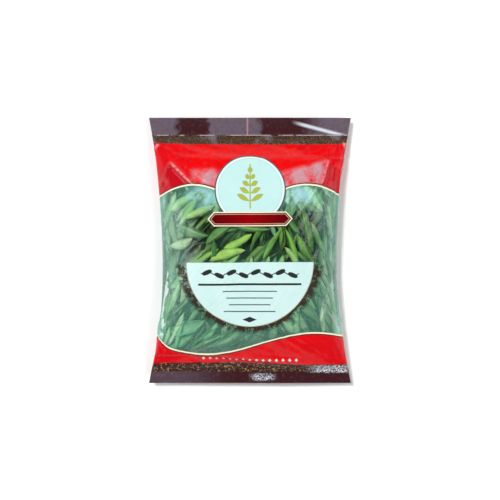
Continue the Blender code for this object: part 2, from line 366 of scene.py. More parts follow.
creases = {
    # folds of the front, in millimetres: from (x, y) to (x, y), height, half width, strength of the painted
    # highlight along the fold
    "folds": [
        ((-62.0, 68.5), (-45.0, 51.5), 2.2, 4.4, 0.7),
        ((-62.0, 68.5), (-70.0, 50.0), 1.2, 3.6, 0.0),
        ((-72.0, 84.0), (-78.5, 76.0), 0.8, 2.2, 0.8),
        ((61.0, 69.5), (54.5, 50.0), 2.2, 4.4, 0.6),
        ((61.0, 69.5), (29.0, 57.0), 1.6, 4.4, 0.15),
        ((74.0, 85.0), (76.0, 77.0), 0.8, 2.2, 0.7),
        ((-48.0, 62.0), (-30.0, 56.0), 1.2, 3.2, 0.0),
        ((-44.0, 60.0), (-33.0, 52.5), 1.1, 2.8, 0.35),
        ((-29.0, 64.0), (-37.0, 51.0), 1.1, 2.8, 0.0),
        ((33.0, 56.0), (53.0, 55.0), 1.1, 3.0, 0.0),
        ((-46.0, 51.0), (-30.0, 51.5), 0.7, 2.2, 0.0),
        ((-50.0, 22.0), (-58.0, -14.0), 0.8, 2.8, 0.15),
        ((62.0, -34.0), (52.0, -58.0), 0.9, 3.0, 0.2),
        ((62.0, 12.0), (57.0, 40.0), 0.7, 2.6, 0.15),
        ((-64.0, -20.0), (-56.0, -60.0), 0.7, 2.8, 0.0),
        ((70.0, -62.0), (60.0, -46.0), 0.8, 2.6, 0.4),
    ],
    "wrinkles": 120,
    "seed": 4,
}


def ridge(place, start, end, height, width):
    # rise that falls off on both sides of a line, and fades towards its two ends
    start, end = np.array(start) * mm, np.array(end) * mm
    length = np.linalg.norm(end - start)
    along = (end - start) / length
    away = place[..., :2] - start
    run = (away @ along) / length
    side = np.abs(away @ np.array([-along[1], along[0]]))
    fade = np.clip(np.minimum(run, 1 - run) * 5 + 0.35, 0, 1) * (np.abs(run - 0.5) < 0.57)
    return height * mm * np.clip(1 - side / (width * mm), 0, 1) ** 1.6 * fade


def creaseFilm(grid, place, front):
    rng = np.random.default_rng(creases["seed"])
    rise = sum(ridge(place, *fold[:4]) for fold in creases["folds"])
    # painted highlights: pale lines along the sharpest folds, where the film would catch the light
    white = sum(ridge(place, start, end, white, 1.5) for start, end, _, _, white in creases["folds"]) / mm
    # short wrinkles that run away from both seals
    for index in range(creases["wrinkles"]):
        atTop = index % 2 == 0
        x = rng.uniform(-74, 74)
        y = rng.uniform(66, 88) if atTop else rng.uniform(-93, -76)
        reach = rng.uniform(5, 16)
        across = (rng.uniform(-0.45, 0.45) - x / 260) * reach
        height = rng.choice([-1, 1]) * rng.uniform(0.12, 0.42)
        end = (x + across, y - reach if atTop else y + reach)
        rise = rise + ridge(place, (x, y), end, height, rng.uniform(1.2, 2.6))
    # gathered strips beside the seals: fine upright pleats, as sums of sines with drifting phase
    x, y = place[..., 0] / mm, place[..., 1] / mm
    strips = np.exp(-(((y - 88.2) / 2.6) ** 2)) + 1.25 * np.exp(-(((y + 92.6) / 2.4) ** 2))
    drift = 1.3 * np.sin(x / 9.7) + 0.9 * np.sin(x / 4.3 + 1.1)
    pleats = np.sin(x * 2.05 + drift * 2 + y * 0.25) + 0.6 * np.sin(x * 3.4 - drift * 3 - y * 0.4)
    rise = rise + pleats * 0.16 * mm * strips
    rise += 0.45 * mm * np.exp(-(((y - 90.9) / 0.55) ** 2)) + 0.35 * mm * np.exp(-(((y + 95.4) / 0.5) ** 2))
    creased = grid + outwardOf(grid) * (rise * np.where(front > 0.5, 1.0, 0.5))[..., None]
    # the welded ends bow a little, front and back together
    seal = np.clip((np.abs(y) - 88) / 6, 0, 1)
    wave = np.sin(x / 21 + 0.6) * 0.8 + np.sin(x / 8.5 + y / 14) * 0.25
    creased[..., 2] += (wave * 0.75 + np.where(front > 0.5, 0.12, -0.12)) * mm * seal
    creased[..., 2] = np.maximum(creased[..., 2], 0.35 * mm)
    # white: strength of the painted fold highlights, on the front only
    return creased, np.clip(white, 0, 1) * (front > 0.5)


def buildFilmForm():
    count, rows = film["across"], film["rows"]
    stations = np.linspace(-bag["length"] / 2, bag["length"] / 2, rows)
    start = np.array([bagRing(y, 0.0, count) for y in stations])
    crown = start[:, count // 2]
    crownRun = np.concatenate([[0], np.cumsum(np.linalg.norm(np.diff(crown, axis=0), axis=1))])
    over = np.linspace(1, -1, count + 1)[:-1]
    front = np.concatenate([np.ones(count), np.zeros(count)])
    front[0] = front[count] = 0.5
    flat = np.empty_like(start)
    flat[..., 0] = np.concatenate([over, -over])[None, :] * film["flatHalfWidth"]
    flat[..., 1] = crownRun[:, None]
    flat[..., 2] = (front[None, :] - 0.5) * 2e-5
    pinned = np.repeat((stations > yHigh - 0.0005) | (stations < yLow + 0.0005), 2 * count)
    settled = start
    settled = simulateFilm(start, flat, pinned, fillForm(np.random.default_rng(film["seed"])))
    shift = settled - start
    size = np.linalg.norm(shift, axis=2, keepdims=True)
    settled = start + shift * np.minimum(1, film["mostMove"] / np.maximum(size, 1e-9))
    print("film settled, moved up to", round(float(size.max()) * 1000, 1), "mm")
    sideShare = np.broadcast_to(front[None, :, None], (rows, 2 * count, 1))
    fine = finer(np.concatenate([settled, start, sideShare], axis=2))
    frontShare = np.clip(fine[..., 6], 0, 1)
    # white: where the painted fold highlights go
    creased, white = creaseFilm(fine[..., :3], fine[..., 3:6], frontShare)
    return {"grid": creased, "place": fine[..., 3:6], "front": frontShare, "white": white, "smooth": settled}


# Print on the film: places in millimetres, the middle of the front at (0, 0)

ink = {
    "red": linear(216, 6, 14),
    "redLight": linear(212, 0, 1),
    # redDeep: the red in painted shade, and its darker blotches
    "redDeep": linear(166, 8, 26),
    "brown": linear(56, 25, 29),
    # sheen: painted sheen on the flap, the bottom seal and the top strip
    "sheen": linear(96, 85, 96),
    "gather": linear(54, 38, 34),
    # gold: a printed rim round the label, and painted glints on the gathered strips
    "gold": linear(168, 138, 92),
    # sparkle: painted glints
    "sparkle": linear(222, 230, 240),
    "cream": linear(232, 226, 196),
    "line": linear(60, 40, 38),
    "pale": linear(180, 215, 212),
    "white": linear(202, 224, 221),
    "ring": linear(44, 64, 82),
    "plaque": linear(134, 0, 4),
    "plaqueDark": linear(76, 0, 4),
    "olive": linear(156, 168, 74),
    "speckle": linear(50, 32, 27),
    "mark": linear(40, 44, 42),
    "seam": linear(182, 128, 138),
    # painted highlight along the top seal's edge
    "highlight": linear(206, 186, 188),
    # painted highlight along the sharp folds
    "foldHighlight": linear(236, 208, 214),
    # film: colour of the painted reflection beside the badge
    "film": linear(176, 158, 168),
}
layout = {
    "archTop": 51.4, "archPlace": 44.0, "archDrop": 0.0121,
    "waveMiddle": -72.9, "waveDepth": 8.3, "waveStart": -33.0, "waveRun": 83.0,
    "redTop": 84.4, "flapLow": 90.9, "redBottom": -89.7, "sealTop": -95.5,
    "badgeY": 47.4, "badgeSize": 27.6,
    "labelY": -9.2, "labelSize": 49.6,
    "plaqueY": 24.4, "plaqueHalf": 33.0, "plaqueTall": 5.6,
}
hazeAndReflection = {
    # the milk is partly the film's own milkiness and partly painted reflection
    "colour": linear(150, 234, 202),
    "white": linear(184, 248, 252),
    "plain": 0.16,
    "window": 0.14,        # taken off in the middle of the window
    "cloud": 0.16,
    # painted reflection: the next two shares whiten the milk beside the badge and along both side folds
    "reflectionByBadge": 0.34,      # added beside the badge
    "side": 0.4,           # added along both side folds
}
gloss = {
    "inkRoughness": 0.4,
    "inkSpecular": 0.04,
    "coat": 0.5,
    "coatRoughness": 0.08,
    "filmRoughness": 0.11,
    "filmIor": 1.6,
    "filmTint": (0.985, 0.995, 0.99, 1),
    "bump": 0.22,
    "bumpDepth": 0.0012,
}
sprig = {
    # the badge's sprig, in millimetres from the badge's middle: leaflets get shorter towards the tip
    "tip": 21.0,
    "foot": -15.0,
    "reach": 0.43,         # leaflet length for each millimetre below the tip
    "rise": 0.55,
    "pitch": 6.2,
    "halfWidth": 2.4,
    "halfStem": 0.55,
}


def bandsAndEnds(tree, place, x, y, coats):
    # red bands, brighter towards the top middle, with arched and waved edges
    blotch = noiseAt(tree, place, 0.06, 3, 0.6)
    speck = noiseAt(tree, place, 1.3, 3, 0.7)
    glow = y.between(58, 92, 15) * abs(x).below(44, 30)
    red = mixColour(tree, glow, ink["red"], ink["redLight"])
    # painted shade: the red darkens towards both sides, in the corner facets and over the lower band; random
    # blotches and noise darken it too
    deep = (abs(x).above(60, 22) * 0.35).most(blotch.above(0.56, 0.12) * 0.3)
    # painted shade: darker facets, where the corners of the fill turn the film away from the light
    drop = 68.0 - y
    shadedFacets = (-62.0 - x + drop).above(0, 1.0) * (x + 68.0 + drop * 0.5).above(0, 5.0)
    shadedFacets = shadedFacets.most((x - 61.0 + drop * 0.3).above(0, 1.0) * (66.0 + drop * 0.4 - x).above(0, 4.0))
    deep = deep.most(shadedFacets * drop.above(0, 1.5) * y.above(20, 5) * 0.75)
    deep = (deep + (noiseAt(tree, place, 0.2, 2, 0.5) - 0.5) * 0.3 + y.below(0, 1) * 0.12).share()
    red = mixColour(tree, deep, red, ink["redDeep"])
    # painted reflection: soft pale patches over the arch, beside the badge, where the film would mirror a
    # soft light
    soft = noiseAt(tree, place, 0.09, 3, 0.6).above(0.46, 0.16)
    underFold = (61.0 + (x - 24.0) * 0.236 - y).above(0, 3)
    insideFold = (53.0 + (y - 50.0) * 0.33 - x).above(0, 3)
    patch = underFold * insideFold * y.above(40, 1)
    patch = patch.most(x.between(-44, -20, 5) * y.between(50, 62.5, 3.5))
    red = mixColour(tree, patch * soft * abs(x).above(22, 2) * 0.75, red, ink["film"])
    arch = layout["archTop"] - (abs(x) - layout["archPlace"]) ** 2 * layout["archDrop"]
    wave = ((x - layout["waveStart"]) * (np.pi / layout["waveRun"])).cos() * layout["waveDepth"]
    wave = layout["waveMiddle"] - wave + (-61.0 - x).most(0.0) ** 2 * 0.055
    coats.append((red, (y - arch).above(0, 0.15).most((wave - y).above(0, 0.15))))
    for distance in (y - arch, wave - y):
        coats.append((ink["line"], distance.between(0.2, 1.25, 0.25)))
        coats.append((ink["cream"], distance.between(-0.85, 0.35, 0.2)))

    # brown ends: bands of painted sheen on the flap and the bottom seal; on the gathered strips, dark flecks
    # and, as painted glints, gold and white flecks
    ragged = (noiseAt(tree, place, 0.16, 3, 0.65) - 0.5) * 1.6
    topStrip = y.between(layout["redTop"] + ragged, layout["flapLow"] + 1, 0.5)
    bottomStrip = y.between(layout["sealTop"] - 1, layout["redBottom"] + ragged * 1.5, 0.6)
    strips = topStrip.most(bottomStrip)
    # painted sheen: patches of the top strip in the sheen colour
    coats.append((mixColour(tree, blotch.above(0.57, 0.07), ink["gather"], ink["sheen"]), topStrip))
    coats.append((mixColour(tree, blotch.above(0.5, 0.1), ink["brown"], ink["gather"]), bottomStrip))
    # painted glints: gold flecks on the top strip
    coats.append((ink["gold"], speck.above(0.58, 0.06) * topStrip * 0.5))
    flecks = noiseAt(tree, place, 0.55, 4, 0.75)
    coats.append((ink["brown"], flecks.below(0.45, 0.04) * bottomStrip * 0.8))
    # painted glints: gold flecks on the bottom strip
    coats.append((ink["gold"], flecks.above(0.575, 0.03) * bottomStrip * 0.75))
    # painted sheen: bands across the flap and over the left of the bottom seal
    grain = noiseAt(tree, place, 0.35, 4, 0.7)
    wander = x + (noiseAt(tree, place, 0.12, 3, 0.6) - 0.5) * 16
    sheen = wander.below(-57, 3).most(wander.between(-33, 8, 3)).most(x.above(50, 12)) * y.above(0, 1)
    sheen = sheen.most(x.between(-90, -36, 24) * y.below(0, 1) * 0.55)
    sheen = sheen * (grain * 0.8 + 0.5) + grain.above(0.6, 0.05) * 0.22
    ends = y.above(layout["flapLow"], 0.3).most(y.below(layout["sealTop"], 0.4))
    coats.append((mixColour(tree, sheen.share(), ink["brown"], ink["sheen"]), ends))
    # painted glints: white sparkles on the bottom strip and the bottom seal
    glintSpots = noiseAt(tree, place, 0.9, 4, 0.75).above(0.52, 0.04)
    highlight = x.between(50, 78, 8) * y.between(-96.5, -90.5, 0.8)
    highlight = highlight.most(x.between(2, 18, 4) * y.between(-102.5, -97.5, 1.5))
    coats.append((ink["sparkle"], highlight * glintSpots * 0.9))
    # painted highlight: a broken pale line along the top seal's edge
    patchy = noiseAt(tree, place, 0.10, 2, 0.6).above(0.47, 0.05)
    coats.append((ink["highlight"], y.between(90.6, 91.1, 0.25) * patchy * 0.75))
    coats.append((ink["seam"], x.between(-2.6, -1.5, 0.45) * y.above(91, 0.5) * 0.7))
    # painted highlight: a bright diagonal streak on the flap
    streak = y + x * 0.27 - 110.6
    streak = streak.between(-1.3, 1.1, 1.1) * x.between(38, 78, 6) * y.above(91.5, 1.0)
    coats.append((ink["sparkle"], streak * 0.75))
    return strips, blotch


def labelPrint(tree, place, x, y, front, blotch, coats):
    # half-moon label with a broken dark edging; a vine, rules that get shorter, and a lozenge on it
    y = y - layout["labelY"]
    size = layout["labelSize"]
    far = (x * x + y * y) ** 0.5
    lowHalf = y.below(0, 0.15) * front
    # the edging is widest at the label's two ends and thins out below it
    reach = (y * 0.08 + 3.6).most(0.0) + size + 4.6
    broken = noiseAt(tree, place, 0.22, 3, 0.7).above(0.45, 0.05)
    edging = far.above(size - 1.0, 0.5) * far.below(reach, 2.2) * broken * y.below(-2, 1.5) * lowHalf
    coats.append((ink["speckle"], edging * 0.93))
    onLabel = far.below(size, 0.2) * lowHalf
    coats.append((mixColour(tree, blotch, ink["pale"], ink["white"]), onLabel))
    coats.append((ink["gold"], far.between(size - 0.45, size + 0.1, 0.2) * lowHalf * 0.7))

    pitch = 19.0
    marks = abs(y + 8.8 - (x * (2 * np.pi / pitch)).sin() * 1.7).below(0.42, 0.15)
    for start, side in ((pitch / 4, 1.0), (-pitch / 4, -1.0)):
        rise = y + 8.8 - side * 1.2
        slant = (x - start).cells(pitch) - rise * (side * 0.9)
        leaf = abs(slant / 3.3) ** 1.5 + abs(rise / 2.4) ** 2.0
        marks = marks.most(leaf.below(1.0, 0.08))
    marks = marks * abs(x).below(pitch * 2, 0.2)
    rules = ((17.0, 40, 0.8), (22.4, 21, 0.38), (27.6, 18, 0.38), (32.8, 16, 0.38), (38.0, 20, 0.38))
    for depth, half, thick in rules:
        marks = marks.most(abs(y + depth).below(thick, 0.15) * abs(x).below(half, 0.2))
    lozenge = abs(x / 5.6) + abs((y + 44.2) / 2.2)
    coats.append((ink["mark"], marks.most(lozenge.below(1.0, 0.05)) * onLabel))


def badgePrint(tree, x, y, front, coats):
    # round badge: a ring, then leaflets in pairs that slant up and out from a stem and get
    # shorter towards its tip, and a plain plaque with pointed ends at its foot
    up = y - layout["badgeY"]
    far = (x * x + up * up) ** 0.5
    size = layout["badgeSize"]
    coats.append((ink["ring"], far.below(size, 0.2) * front))
    coats.append((ink["white"], far.below(size - 0.9, 0.2) * front))
    coats.append((ink["ring"], far.below(size - 2.7, 0.15) * front * 0.35))
    coats.append((ink["pale"], far.below(size - 3.1, 0.15) * front))
    side = abs(x)
    reach = ((sprig["tip"] - up) * sprig["reach"]).most(0.5)
    along = (side / reach).least(1.0)
    pitch = sprig["pitch"]
    slant = up - side * sprig["rise"] + 3.0
    leaflets = ((along * np.pi).sin() * sprig["halfWidth"] - abs(slant.cells(pitch))).above(0.1, 0.2)
    leaflets = leaflets * slant.between(-1.5 * pitch, 3.5 * pitch, 0.3)
    stem = side.below(sprig["halfStem"], 0.15) * up.between(sprig["foot"], sprig["tip"] - 0.5, 0.2)
    coats.append((ink["olive"], leaflets.most(stem) * front))

    height = abs(y - layout["plaqueY"])
    edge = side + height * 0.9
    shade = (1.0 - side / layout["plaqueHalf"]).share()
    satin = mixColour(tree, shade, ink["plaqueDark"], ink["plaque"])
    # the plaque's coats, each drawn in a little further: edge, face, inner line, face
    plaqueCoats = ((0.0, ink["cream"], 1.0), (0.8, satin, 1.0), (1.7, ink["cream"], 0.5), (2.1, satin, 1.0))
    for shrink, colour, strength in plaqueCoats:
        inside = height.below(layout["plaqueTall"] - shrink, 0.18)
        inside = inside * edge.below(layout["plaqueHalf"] - shrink * 1.35, 0.2)
        coats.append((colour, inside * front * strength))


def printedFilm():
    made, tree = newMaterial("printed_film")
    place = attribute(tree, "filmPlace", "Vector").socket
    parts = newNode(tree, "ShaderNodeSeparateXYZ", {"Vector": place})
    x, y = Field(tree, parts.outputs["X"]), Field(tree, parts.outputs["Y"])
    front = attribute(tree, "filmFront").above(0.5, 0.02)

    coats = []
    strips, blotch = bandsAndEnds(tree, place, x, y, coats)
    labelPrint(tree, place, x, y, front, blotch, coats)
    badgePrint(tree, x, y, front, coats)
    small = abs(x.cells(5.2)) + abs(y + 86.2)
    coats.append((ink["white"], small.below(1.3, 0.2) * abs(x).below(40, 0.2) * front * 0.9))
    # painted highlights: pale lines along the sharp folds
    patchy = noiseAt(tree, place, 0.35, 3, 0.7).above(0.44, 0.14)
    coats.append((ink["foldHighlight"], attribute(tree, "filmFoldHighlight") * patchy * 0.85))
    colour, inked = coats[0]
    for paint, mask in coats[1:]:
        # the paint's share of the ink there, which is all of it on film that was still bare
        together = inked + mask - inked * mask
        colour = mixColour(tree, mask / together.most(0.0001), colour, paint)
        inked = together

    # milky tint of the clear film, part its own milkiness and part painted reflection: thinner across the
    # middle of the window, whiter by the badge and along both side folds as painted reflection
    window = x.between(-50, 54, 7) * y.between(-12, 31, 7)
    cloud = noiseAt(tree, place, 0.05, 3, 0.6)
    # painted reflection: whiter patches beside the badge
    reflectionByBadge = (abs(abs(x) - 38) / 13) ** 2.0 + (abs(y - 42) / 9) ** 2.0
    reflectionByBadge = reflectionByBadge.below(0.8, 0.7) * cloud.above(0.42, 0.12)
    # painted reflection: whiter along both side folds
    side = abs(x).above(70, 7)
    milkAndReflection = hazeAndReflection["plain"] + (cloud - 0.5) * hazeAndReflection["cloud"] - window * hazeAndReflection["window"]
    milkAndReflection = milkAndReflection + reflectionByBadge * hazeAndReflection["reflectionByBadge"] + side * hazeAndReflection["side"]
    milkAndReflection = (milkAndReflection * (front * 0.5 + 0.5)).share()

    crinkle = noiseAt(tree, place, 0.22, 4, 0.55)
    fine = noiseAt(tree, place, 1.6, 3, 0.6)
    relief = crinkle + fine * (strips * 0.5 + 0.02)
    bump = bumpFrom(tree, relief, gloss["bump"], gloss["bumpDepth"])
    opaque = newNode(tree, "ShaderNodeBsdfPrincipled", {
        "Base Color": colour,
        "Roughness": gloss["inkRoughness"],
        "Specular IOR Level": gloss["inkSpecular"],
        "Coat Weight": gloss["coat"],
        "Coat Roughness": gloss["coatRoughness"],
        "Normal": bump,
        "Coat Normal": bump,
    })
    clear = newNode(tree, "ShaderNodeBsdfTransparent", {"Color": gloss["filmTint"]}).outputs[0]
    # the milk turns whiter where reflection is painted
    milkColour = mixColour(tree, reflectionByBadge.most(side * 0.6), hazeAndReflection["colour"], hazeAndReflection["white"])
    milk = newNode(tree, "ShaderNodeBsdfDiffuse", {"Color": milkColour, "Normal": bump}).outputs[0]
    body = newNode(tree, "ShaderNodeMixShader", {0: milkAndReflection, 1: clear, 2: milk}).outputs[0]
    shineInputs = {"Color": (1, 1, 1, 1), "Roughness": gloss["filmRoughness"], "Normal": bump}
    shine = newNode(tree, "ShaderNodeBsdfGlossy", shineInputs).outputs[0]
    fresnel = newNode(tree, "ShaderNodeFresnel", {"IOR": gloss["filmIor"], "Normal": bump}).outputs[0]
    clearFilm = newNode(tree, "ShaderNodeMixShader", {0: fresnel, 1: body, 2: shine}).outputs[0]
    whole = newNode(tree, "ShaderNodeMixShader", {0: inked, 1: clearFilm, 2: opaque.outputs[0]}).outputs[0]
    newNode(tree, "ShaderNodeOutputMaterial", {"Surface": whole})
    return made


def makeFilm(form, finish):
    rows, columns = form["grid"].shape[:2]
    faces = gridFaces(rows, columns).tolist()
    # both cut edges are closed by joining front to back across the seal
    half = columns // 2
    for row, turned in ((0, False), (rows - 1, True)):
        for step in range(half):
            ends = [step, step + 1, columns - step - 1, (columns - step) % columns]
            quad = list(dict.fromkeys(row * columns + end for end in ends))
            if len(quad) > 2:
                faces.append(quad[::-1] if turned else quad)
    piece = newPiece("film_skin", form["grid"], faces, "film_bag", finish)
    pointVectors(piece, "filmPlace", form["place"] / mm)
    pointValues(piece, "filmFront", form["front"])
    # strength of the painted fold highlights
    pointValues(piece, "filmFoldHighlight", form["white"])
    print("film skin made,", len(piece.data.polygons), "faces")


lap = {
    "half": 5.0,           # millimetres, as the next four
    "middle": 0.0,
    "gap": 0.05,
    "thick": 0.16,
    "across": 6,
}


def makeLap(form, finish):
    # lap seam: a strip that follows the back of the film, a little way out from it
    back = form["grid"][:, form["grid"].shape[1] // 2:]
    count = lap["across"]
    x = (lap["middle"] + np.linspace(-lap["half"], lap["half"], count + 1)) * mm
    skin = np.array([[np.interp(x, row[:, 0], row[:, part]) for part in range(3)] for row in back])
    skin = np.moveaxis(skin, 1, 2)
    down = np.array([0, 0, -mm])
    inner = skin + down * lap["gap"]
    outer = skin + down * (lap["gap"] + lap["thick"])
    ring = np.concatenate([inner, outer[:, ::-1]], axis=1)
    rows, around = ring.shape[:2]
    faces = gridFaces(rows, around)[:, ::-1].tolist()
    faces += [list(range(around))[::-1], list(range((rows - 1) * around, rows * around))]
    piece = newPiece("lap_seam", ring, faces, "film_bag", finish)
    place = ring.copy()
    place[..., 1] = np.linspace(-bag["length"] / 2, bag["length"] / 2, rows)[:, None]
    pointVectors(piece, "filmPlace", place / mm)
    pointValues(piece, "filmFront", np.zeros(ring.shape[:2]))
    pointValues(piece, "filmFoldHighlight", np.zeros(ring.shape[:2]))
    print("lap seam made")


# Leaves

leaves = {
    "length": (22.0, 37.0),     # millimetres
    "width": (11.0, 16.5),      # of the blade laid flat, before it rolls up
    "thickness": 0.30,
    "curl": (2.8, 6.0),         # how far round the blade is rolled, in radians
    "layers": [
        # name, back, rows, columns, least depth in mm, steps along, steps across
        ("leaves_front_top", False, 10, 12, 0.7, 7, 4),
        ("leaves_front_mid", False, 9, 11, 4.0, 6, 3),
        ("leaves_front_low", False, 8, 10, 7.4, 6, 3),
        ("leaves_back_top", True, 10, 11, 0.7, 6, 3),
        ("leaves_back_low", True, 8, 10, 4.4, 6, 3),
    ],
    "window": (-50.0, 54.0, -14.0, 33.0),
    "lit": (1.4, 8.5),         # share of light at the film, and the depth in mm that takes all of it
    "bedDepth": 11.0,
    "bedLump": 1.1,
    "roughness": 0.5,
    "bedRoughness": 0.8,
    "seed": 20,
}


def formSampler(form):
    # the settled film as a surface: a place from the share of the way round, y and a depth
    grid = form["smooth"]
    girth = np.linalg.norm(np.roll(grid, -1, axis=1) - grid, axis=2).sum(axis=1)
    room = grid[..., 2].max(axis=1) - grid[..., 2].min(axis=1)
    reach = np.abs(grid[..., 0]).max(axis=1)
    rows, columns = grid.shape[:2]
    low, step = -bag["length"] / 2, bag["length"] / (rows - 1)
    both = np.concatenate([grid, outwardOf(grid)], axis=2)

    def sample(share, y, depth):
        row = np.clip((y - low) / step, 0, rows - 1.001)
        column = (share % 1.0) * columns
        rowLow, columnLow = row.astype(int), column.astype(int) % columns
        columnHigh = (columnLow + 1) % columns
        rowPart, columnPart = (row - rowLow)[..., None], (column - np.floor(column))[..., None]
        near = both[rowLow, columnLow] * (1 - columnPart) + both[rowLow, columnHigh] * columnPart
        far = both[rowLow + 1, columnLow] * (1 - columnPart) + both[rowLow + 1, columnHigh] * columnPart
        mixed = near * (1 - rowPart) + far * rowPart
        # where the bag is thin the depth is held back, so that nothing comes out on its other side
        toFold = np.clip(np.abs(mixed[..., 0]) / np.interp(row, np.arange(rows), reach), 0, 1)
        thin = np.maximum((1 - toFold ** 2.5) ** 0.5, 0.4)
        depth = np.minimum(depth, 0.42 * thin * np.interp(row, np.arange(rows), room))
        normal = mixed[..., 3:] / np.maximum(np.linalg.norm(mixed[..., 3:], axis=-1, keepdims=True), 1e-12)
        return mixed[..., :3] - normal * depth[..., None]

    return sample, lambda y: np.interp(y, low + step * np.arange(rows), girth)


def leafBlades(rng, sample, girthAt, back, rows, columns, least, alongSteps, acrossSteps):
    # each blade: an outline that swells and narrows to a point, rolled up about its length, bent,
    # twisted and waved, then laid at a depth under the film
    count = rows * columns

    def each(values):
        return np.asarray(values)[:, None, None]

    row, column = np.divmod(np.arange(count), columns)
    length = rng.uniform(*leaves["length"], count) * mm
    width = rng.uniform(*leaves["width"], count) * mm
    curl = rng.uniform(*leaves["curl"], count)
    faceUp = rng.choice([-1.0, 1.0], count, p=[0.35, 0.65])
    step = (column + 0.5 + 0.5 * (row % 2 - 0.5) + rng.uniform(-0.4, 0.4, count)) / columns
    homeX = (step - 0.5) if back else (0.5 - step)
    # leaves lean to the right, past the middle to the left, and stand more upright at the sides
    toRight = np.clip((homeX - 0.02) / 0.2, 0, 1)
    toSide = np.clip(np.abs(homeX) * 5 - 1.6, 0, 1)
    lean = np.pi * (0.24 + 0.40 * toRight)
    heading = lean + (np.pi / 2 - lean) * 0.7 * toSide + rng.normal(0, 0.42, count)
    lying = np.abs(np.sin(heading)) * length / 2 + np.abs(np.cos(heading)) * 0.004
    lowY, highY = yLow + 0.009, yHigh - 0.013
    homeY = lowY + (highY - lowY) * (row + 0.5 + rng.uniform(-0.5, 0.5, count)) / rows
    homeY = np.clip(homeY, lowY + lying, highY - lying)
    home = step / 2 + (0.5 if back else 0.0)
    sideways = 1.0 if back else -1.0
    tilt, roll, twist, bend = (rng.uniform(-size, size, count) for size in (0.10, 0.6, 0.8, 0.22))
    phase = rng.uniform(0, 6.3, count)
    rest = rng.uniform(0, 2.0, count) * mm
    tone = rng.uniform(0, 1, count)

    s = np.linspace(0, 1, alongSteps + 1)[None, :, None]
    # across the blade from edge to edge, then back on its other side
    edgeToEdge = np.linspace(-1, 1, acrossSteps + 1)
    t = np.concatenate([edgeToEdge, -edgeToEdge])[None, None, :]
    under = np.repeat([0.0, 1.0], acrossSteps + 1)[None, None, :]
    swell = np.clip(np.sin(np.pi * s ** 0.88), 0, 1) ** 0.8 + 0.04
    angle = each(curl) * (0.7 + 0.3 * swell) * (1 + 0.10 * np.sin(9 * s + each(phase)))
    radius = each(width) * swell / angle
    inner = radius - under * np.minimum(leaves["thickness"] * mm, 0.4 * radius)
    turn = t * angle / 2 + each(roll) + each(twist) * (s - 0.5)
    rise = (radius - inner * np.cos(turn)) * each(faceUp)
    rise = rise + 0.5 * mm * np.sin(14 * s + 3 * t + each(phase)) * np.abs(t)
    along = (s - 0.5) * each(length) + 0 * t
    across = inner * np.sin(turn) + each(bend * length) * (0.25 - (s - 0.5) ** 2) * 1.6
    depth = each(tilt) * along + rise
    depth = depth - depth.min(axis=(1, 2), keepdims=True) + least * mm + each(rest)
    cos, sin = each(np.cos(heading)), each(np.sin(heading))
    share = each(home) + sideways * (along * cos - across * sin) / each(girthAt(homeY))
    y = each(homeY) + along * sin + across * cos
    points = sample(share, y, depth)

    around = t.shape[2]
    walls = gridFaces(alongSteps + 1, around)
    tips = np.stack([np.arange(around), np.arange(around)[::-1] + alongSteps * around])
    flat = points.reshape(count, -1, 3)
    corner = [flat[:, walls[:, index]] - flat[:, :1] for index in range(4)]
    volume = (corner[0] * (np.cross(corner[1], corner[2]) + np.cross(corner[2], corner[3]))).sum(axis=(1, 2))
    faces = []
    for shape in (walls, tips):
        turned = np.where(each(volume) < 0, shape[None, :, ::-1], shape[None])
        faces += (turned + each(np.arange(count) * flat.shape[1])).reshape(-1, shape.shape[1]).tolist()
    leafPlace = np.stack([np.broadcast_to(part, depth.shape) for part in (s, (t + 1) / 2, each(tone))], -1)
    return points, faces, leafPlace, np.clip(leaves["lit"][0] - depth / (leaves["lit"][1] * mm), 0.12, 1)


